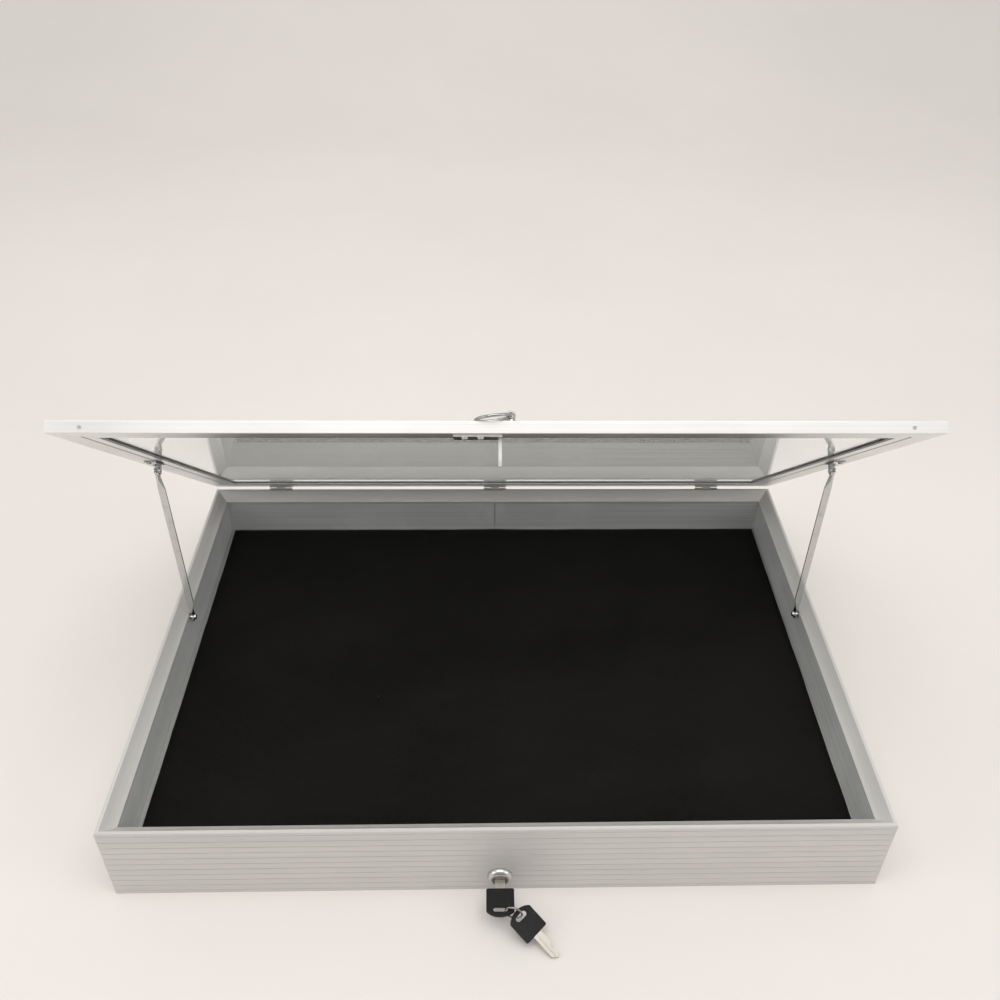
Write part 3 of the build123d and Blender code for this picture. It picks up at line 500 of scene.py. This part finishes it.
def soft_rubber(name):
    """Dull black gasket rubber with a dusty bloom."""
    material, shader = new_material(name)
    vector = object_pattern(material)
    grain = noise(material, vector, 1400.0, 3.0)
    bloom = noise(material, vector, 40.0, 5.0, 0.7)
    tone = mix_colour(
        material,
        remap(material, bloom, 0.5, 0.75, 0, 1),
        (0.018, 0.018, 0.018),
        (0.07, 0.068, 0.065),
    )
    link(material, tone, shader.inputs["Base Color"])
    link(material, remap(material, bloom, 0.3, 0.7, 0.62, 0.85), shader.inputs["Roughness"])
    bump(material, shader, grain, 0.2, 0.0001)
    return material


def velvet(name, colour):
    """Short black pile: sheen, painted sheen as paler patches where the pile lies another way, and
    a little pale lint.
    """
    material, shader = new_material(name)
    vector = object_pattern(material)
    pile = noise(material, vector, 1500.0, 2.0)
    pile_sheen = noise(material, object_pattern(material, (5, 8, 5)), 1.0, 4.0, 0.6)
    lint = add_node(material, "ShaderNodeTexVoronoi", Scale=70.0, Randomness=1.0)
    link(material, vector, lint.inputs["Vector"])
    rare = noise(material, object_pattern(material, (1, 1, 1), 0, (4, 4, 4)), 30.0, 2.0)
    tone = mix_colour(
        material, remap(material, pile, 0.3, 0.7, 0, 1), shade(colour, 0.5), shade(colour, 1.7)
    )
    # Painted sheen: patches where the pile lies another way are painted paler, standing in for the
    # light they catch.
    tone = mix_colour(
        material, remap(material, pile_sheen, 0.4, 0.65, 0, 0.6), tone, shade(colour, 2.0)
    )
    near = remap(material, lint.outputs["Distance"], 0.012, 0.03, 1, 0)
    some = remap(material, rare, 0.66, 0.68, 0, 1)
    both = add_node(material, "ShaderNodeMath", operation="MULTIPLY")
    link(material, near, both.inputs[0])
    link(material, some, both.inputs[1])
    tone = mix_colour(material, both.outputs[0], tone, (0.22, 0.21, 0.2))
    link(material, tone, shader.inputs["Base Color"])
    shader.inputs["Roughness"].default_value = 0.95
    shader.inputs["Specular IOR Level"].default_value = 0.12
    shader.inputs["Sheen Weight"].default_value = 0.035
    shader.inputs["Sheen Roughness"].default_value = 0.35
    shader.inputs["Sheen Tint"].default_value = (0.6, 0.58, 0.56, 1.0)
    bump(material, shader, pile, 0.6, 0.0004)
    return material


def dress(material, *nodes):
    """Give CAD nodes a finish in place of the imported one."""
    for node in nodes:
        mesh_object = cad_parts[node]
        if not mesh_object.material_slots:
            mesh_object.data.materials.append(material)
        for material_slot in mesh_object.material_slots:
            material_slot.material = material


# ---------------------------------------------------------------- tools for pieces


def deselect_all():
    """Leave edit mode and select nothing."""
    if bpy.context.object and bpy.context.object.mode != "OBJECT":
        bpy.ops.object.mode_set(mode="OBJECT")
    bpy.ops.object.select_all(action="DESELECT")


def place_in_mesh(piece):
    """Move a piece's place, turn and scale into its mesh."""
    deselect_all()
    piece.select_set(True)
    bpy.context.view_layer.objects.active = piece
    bpy.ops.object.transform_apply(location=True, rotation=True, scale=True)


# ---------------------------------------------------------------- operators


class DISPLAYCASE_OT_stage(bpy.types.Operator):
    """Set up the camera, the pale floor with its backdrop and the lights"""

    bl_idname = "display_case.stage"
    bl_label = "Stage"

    def execute(self, context):
        stage = context.scene.display_case_stage
        self.add_camera(context, stage)
        self.add_backdrop(stage)
        self.add_lights(context, stage)
        return {"FINISHED"}

    def add_camera(self, context, stage):
        deselect_all()
        bpy.ops.object.camera_add(location=CAMERA_PLACE)
        camera = context.object
        turn = (
            Matrix.Rotation(-CAMERA_HEADING, 3, "Z")
            @ Matrix.Rotation(pi / 2 - CAMERA_DOWN, 3, "X")
            @ Matrix.Rotation(CAMERA_ROLL, 3, "Z")
        )
        camera.rotation_euler = turn.to_euler()
        camera.data.sensor_width = 36.0
        camera.data.lens = stage.lens
        camera.data.shift_x = CAMERA_SHIFT
        context.scene.camera = camera

    def add_backdrop(self, stage):
        deselect_all()
        bpy.ops.mesh.primitive_plane_add(size=1, location=(0, 0, 0))
        floor = bpy.context.object
        floor.name = "floor"
        bpy.ops.object.mode_set(mode="EDIT")
        bpy.ops.transform.resize(value=(FLOOR_WIDTH, FLOOR_DEPTH, 1.0))
        mesh = bmesh.from_edit_mesh(floor.data)
        for edge in mesh.edges:
            edge.select = all(vertex.co.y > FLOOR_BACK for vertex in edge.verts)
        mesh.select_flush(False)
        for edge in mesh.edges:
            edge.select = all(vertex.co.y > FLOOR_BACK for vertex in edge.verts)
        bmesh.update_edit_mesh(floor.data)
        bpy.ops.mesh.select_mode(type="EDGE")
        bpy.ops.mesh.extrude_region_move(
            TRANSFORM_OT_translate={"value": (0, 0, BACKDROP_HEIGHT)}
        )
        mesh = bmesh.from_edit_mesh(floor.data)
        for edge in mesh.edges:
            edge.select = all(
                vertex.co.y > FLOOR_BACK and abs(vertex.co.z) < 0.01 for vertex in edge.verts
            )
        bmesh.update_edit_mesh(floor.data)
        bpy.ops.mesh.bevel(offset=BACKDROP_ROUND, segments=24)
        bpy.ops.object.mode_set(mode="OBJECT")
        bpy.ops.object.shade_smooth()
        place_in_mesh(floor)
        material, shader = new_material("pale_backdrop")
        cloth = noise(material, object_pattern(material), 1.3, 5.0, 0.6)
        tone = mix_colour(
            material,
            remap(material, cloth, 0.35, 0.7, 0, 1),
            stage.floor_colour,
            shade(stage.floor_colour, 0.955),
        )
        link(material, tone, shader.inputs["Base Color"])
        shader.inputs["Roughness"].default_value = 0.72
        shader.inputs["Specular IOR Level"].default_value = 0.2
        floor.data.materials.append(material)

    def add_light(self, name, place, aim, size, power):
        deselect_all()
        bpy.ops.object.light_add(type="AREA", location=place)
        lamp = bpy.context.object
        lamp.name = name
        lamp.data.shape = "RECTANGLE"
        lamp.data.size, lamp.data.size_y = size
        lamp.data.energy = power
        lamp.data.color = WARM_LIGHT
        lamp.rotation_euler = (Vector(aim) - Vector(place)).to_track_quat("-Z", "Y").to_euler()

    def add_lights(self, context, stage):
        self.add_light("key_light", (0, -0.6, 2.3), (0, 0.1, 0), (2.4, 1.4), stage.key_power)
        for name, side in (("left_fill", -1), ("right_fill", 1)):
            place = (2.2 * side, -1.0, 1.3)
            self.add_light(name, place, (0, 0, 0.1), (1.4, 1.4), stage.fill_power)
        self.add_light("back_wash", (0, 1.3, 2.6), (0, 3.4, 0.9), (3.0, 1.0), stage.wash_power)
        self.add_room(context, stage)
        context.scene.view_settings.view_transform = "Standard"
        context.scene.view_settings.look = "None"

    def add_room(self, context, stage):
        """Even pale light from the room, with a dimmer patch low down in front."""
        world = bpy.data.worlds.new("studio")
        world.use_nodes = True
        nodes, links = world.node_tree.nodes, world.node_tree.links
        background = nodes["Background"]
        background.inputs["Strength"].default_value = stage.sky_strength
        place = nodes.new("ShaderNodeTexCoord")
        parts = nodes.new("ShaderNodeSeparateXYZ")
        links.new(place.outputs["Generated"], parts.inputs[0])
        front = nodes.new("ShaderNodeMapRange")
        front.inputs["From Min"].default_value = -0.35
        front.inputs["From Max"].default_value = -0.95
        links.new(parts.outputs["Y"], front.inputs["Value"])
        room = nodes.new("ShaderNodeMix")
        room.data_type = "RGBA"
        links.new(front.outputs["Result"], room.inputs["Factor"])
        room.inputs[6].default_value = (1.0, 0.985, 0.965, 1.0)
        room.inputs[7].default_value = (0.30, 0.29, 0.28, 1.0)
        links.new(room.outputs[2], background.inputs["Color"])
        context.scene.world = world


class DISPLAYCASE_OT_case_walls(bpy.types.Operator):
    """Finish the four walls of the case in drawn, anodised aluminium"""

    bl_idname = "display_case.case_walls"
    bl_label = "Case walls"

    def execute(self, context):
        metal = context.scene.display_case_metal
        colour, roughness = metal.case_colour, metal.case_roughness
        across = brushed_metal(
            "anodised_case_x", colour, roughness, ALONG_X, metallic=CASE_METALLIC
        )
        beside = brushed_metal(
            "anodised_case_y", colour, roughness, ALONG_Y, metallic=CASE_METALLIC
        )
        dress(across, "front_wall", "rear_wall")
        dress(beside, "left_wall", "right_wall")
        keys = brushed_metal("corner_key_casting", (0.42, 0.42, 0.43), 0.6, ALONG_Z, worn=0.1)
        dress(keys, "case_corner_keys", "lid_corner_keys")
        return {"FINISHED"}


class DISPLAYCASE_OT_lining(bpy.types.Operator):
    """Finish the liners, floor board, battens and base panel"""

    bl_idname = "display_case.lining"
    bl_label = "Lining and floor"

    def execute(self, context):
        lining = context.scene.display_case_lining
        dress(lining_sheet("liner_x", lining.liner_colour, ALONG_X), "front_liner", "rear_liners")
        dress(lining_sheet("liner_y", lining.liner_colour, ALONG_Y), "side_liners")
        dress(faced_board("floor_board", lining.board_colour, (0.42, 0.30, 0.19)), "floor_board")
        dress(sawn_wood("battens", (0.62, 0.45, 0.26), ALONG_Y), "floor_battens")
        dress(hardboard("base_hardboard", (0.20, 0.145, 0.10)), "base_panel")
        return {"FINISHED"}


class DISPLAYCASE_OT_velvet_pad(bpy.types.Operator):
    """Make the velvet-covered pad that fills the floor of the case"""

    bl_idname = "display_case.velvet_pad"
    bl_label = "Velvet pad"

    def execute(self, context):
        settings = context.scene.display_case_pad
        low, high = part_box("velvet_pad")
        centre = [(low[i] + high[i]) / 2 for i in range(3)]
        size = [high[i] - low[i] for i in range(3)]
        margin = settings.edge_wander
        deselect_all()
        bpy.ops.mesh.primitive_cube_add(size=1, location=centre)
        pad = context.object
        pad.name = "velvet_covered_pad"
        bpy.ops.object.mode_set(mode="EDIT")
        bpy.ops.transform.resize(
            value=(size[0] - 2 * margin, size[1] - 2 * margin, size[2] - 0.0004),
            center_override=centre,
        )
        bpy.ops.mesh.select_all(action="SELECT")
        bpy.ops.mesh.subdivide(number_cuts=PAD_CUTS)
        bpy.ops.object.mode_set(mode="OBJECT")
        place_in_mesh(pad)
        self.round_edges(pad, centre, size, settings)
        self.ruffle(pad, settings)
        bpy.ops.object.shade_smooth()
        pad.data.materials.append(velvet("black_velvet", settings.pile_colour))
        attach(pad, "case")
        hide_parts("velvet_pad")
        return {"FINISHED"}

    def round_edges(self, pad, centre, size, settings):
        """Pull the upper and lower rims in so that the fabric turns over the edge."""
        half_x, half_y = size[0] / 2, size[1] / 2
        radius = settings.edge_round
        for vertex in pad.data.vertices:
            across = half_x - abs(vertex.co.x - centre[0])
            beside = half_y - abs(vertex.co.y - centre[1])
            edge = min(across, beside)
            if edge < 3 * radius:
                drop = (1 - edge / (3 * radius)) ** 2 * radius * 0.7
                middle = vertex.co.z - centre[2]
                vertex.co.z = centre[2] + middle * (1 - drop / (size[2] / 2))

    def ruffle(self, pad, settings):
        """Let the wrapped edges wander and the top rise and fall a little."""
        texture = bpy.data.textures.new("pad_ruffle", "CLOUDS")
        texture.noise_scale = 0.05
        texture.noise_depth = 2
        deselect_all()
        pad.select_set(True)
        bpy.context.view_layer.objects.active = pad
        for direction, strength in (("X", 1.6), ("Y", 1.8), ("Z", 0.35)):
            modifier = pad.modifiers.new("ruffle_" + direction, "DISPLACE")
            modifier.texture = texture
            modifier.texture_coords = "LOCAL"
            modifier.direction = direction
            modifier.mid_level = 0.5
            modifier.strength = strength * settings.edge_wander
            bpy.ops.object.modifier_apply(modifier=modifier.name)


class DISPLAYCASE_OT_lid_frame(bpy.types.Operator):
    """Finish the lid's rails, glazing beads, gasket and glass"""

    bl_idname = "display_case.lid_frame"
    bl_label = "Lid frame and glass"

    def execute(self, context):
        colour = context.scene.display_case_metal.lid_colour
        finish = {"tilt": LID_TILT, "metallic": LID_METALLIC, "depth": 0.08}
        across = brushed_metal("anodised_lid_x", colour, LID_ROUGHNESS, ALONG_X, **finish)
        beside = brushed_metal("anodised_lid_y", colour, LID_ROUGHNESS, ALONG_Y, **finish)
        dress(across, "lid_front_rail", "lid_rear_rail", "long_glazing_beads")
        dress(beside, "lid_left_rail", "lid_right_rail", "short_glazing_beads")
        dress(clear_glass("float_glass"), "lid_glass")
        dress(soft_rubber("gasket_rubber"), "glass_gasket")
        return {"FINISHED"}


class DISPLAYCASE_OT_hardware(bpy.types.Operator):
    """Finish the hinges, screws, stays, strike and pull"""

    bl_idname = "display_case.hardware"
    bl_label = "Hinges, stays and pull"

    def execute(self, context):
        metal = context.scene.display_case_metal
        chrome = polished_metal("chrome_plate", metal.chrome_colour, 0.08)
        dress(chrome, "stay_arm_left", "stay_arm_right", "stay_studs", "stay_rivets")
        dress(chrome, "stay_bracket_left", "stay_bracket_right")
        dress(polished_metal("pull_chrome", (0.44, 0.44, 0.43), 0.1), "pull_eye", "pull_ring")
        nickel = brushed_metal("nickel_plate", metal.nickel_colour, 0.3, ALONG_X, worn=0.08)
        dress(nickel, "hinge_case_leaves", "hinge_lid_leaves", "hinge_pins")
        dress(nickel, "hinge_case_screws", "hinge_lid_screws", "lid_corner_screws")
        dress(nickel, "base_screws", "strike_screws", "stay_bracket_screws")
        strike = brushed_metal("strike_steel", (0.84, 0.83, 0.81), 0.32, ALONG_X, worn=0.08)
        dress(strike, "strike_bracket")
        return {"FINISHED"}


class DISPLAYCASE_OT_lock(bpy.types.Operator):
    """Finish the lock, both keys and their ring"""

    bl_idname = "display_case.lock"
    bl_label = "Lock and keys"

    def execute(self, context):
        metal = context.scene.display_case_metal
        dress(polished_metal("lock_chrome", metal.chrome_colour, 0.1), "lock_housing")
        dress(polished_metal("ring_steel", (0.36, 0.36, 0.35), 0.16), "key_ring")
        inner = brushed_metal("lock_steel", metal.nickel_colour, 0.3, ALONG_Z, worn=0.1)
        dress(inner, "lock_cam", "cam_screw", "lock_nut")
        # Painted shade: the plug's near-black tone stands in for the shadow and dark reflection in
        # the keyway recess.
        plug = brushed_metal("plug_painted_shade", (0.2, 0.19, 0.18), 0.28, ALONG_X, worn=0.15)
        dress(plug, "lock_cylinder")
        blade = brushed_metal("key_nickel", (0.62, 0.59, 0.53), 0.36, ALONG_Y, worn=0.02)
        dress(blade, "key_1_blade", "key_2_blade")
        plastic = moulded_plastic("key_plastic", (0.006, 0.006, 0.0065), 0.5)
        dress(plastic, "key_1_head", "key_2_head")
        return {"FINISHED"}


OPERATORS = (
    DISPLAYCASE_OT_stage,
    DISPLAYCASE_OT_case_walls,
    DISPLAYCASE_OT_lining,
    DISPLAYCASE_OT_velvet_pad,
    DISPLAYCASE_OT_lid_frame,
    DISPLAYCASE_OT_hardware,
    DISPLAYCASE_OT_lock,
)


class DISPLAYCASE_PT_panel(bpy.types.Panel):
    """Buttons and settings of the display case"""

    bl_idname = "DISPLAYCASE_PT_panel"
    bl_label = "Display Case"
    bl_space_type = "VIEW_3D"
    bl_region_type = "UI"
    bl_category = "Display Case"

    def draw(self, context):
        for operator in OPERATORS:
            self.layout.operator(operator.bl_idname)
        for name, group in SETTINGS.items():
            settings = getattr(context.scene, name)
            for prop in group.__annotations__:
                self.layout.prop(settings, prop)


def register():
    """Register the settings, operators and panel."""
    for name, group in SETTINGS.items():
        bpy.utils.register_class(group)
        setattr(bpy.types.Scene, name, bpy.props.PointerProperty(type=group))
    for operator in OPERATORS:
        bpy.utils.register_class(operator)
    bpy.utils.register_class(DISPLAYCASE_PT_panel)


def unregister():
    """Take everything that register added away again."""
    bpy.utils.unregister_class(DISPLAYCASE_PT_panel)
    for operator in reversed(OPERATORS):
        bpy.utils.unregister_class(operator)
    for name, group in SETTINGS.items():
        delattr(bpy.types.Scene, name)
        bpy.utils.unregister_class(group)


def main():
    """Dress the whole case."""
    register()
    bpy.ops.display_case.stage()
    bpy.ops.display_case.case_walls()
    bpy.ops.display_case.lining()
    bpy.ops.display_case.velvet_pad()
    bpy.ops.display_case.lid_frame()
    bpy.ops.display_case.hardware()
    bpy.ops.display_case.lock()


if __name__ == "__main__":
    main()
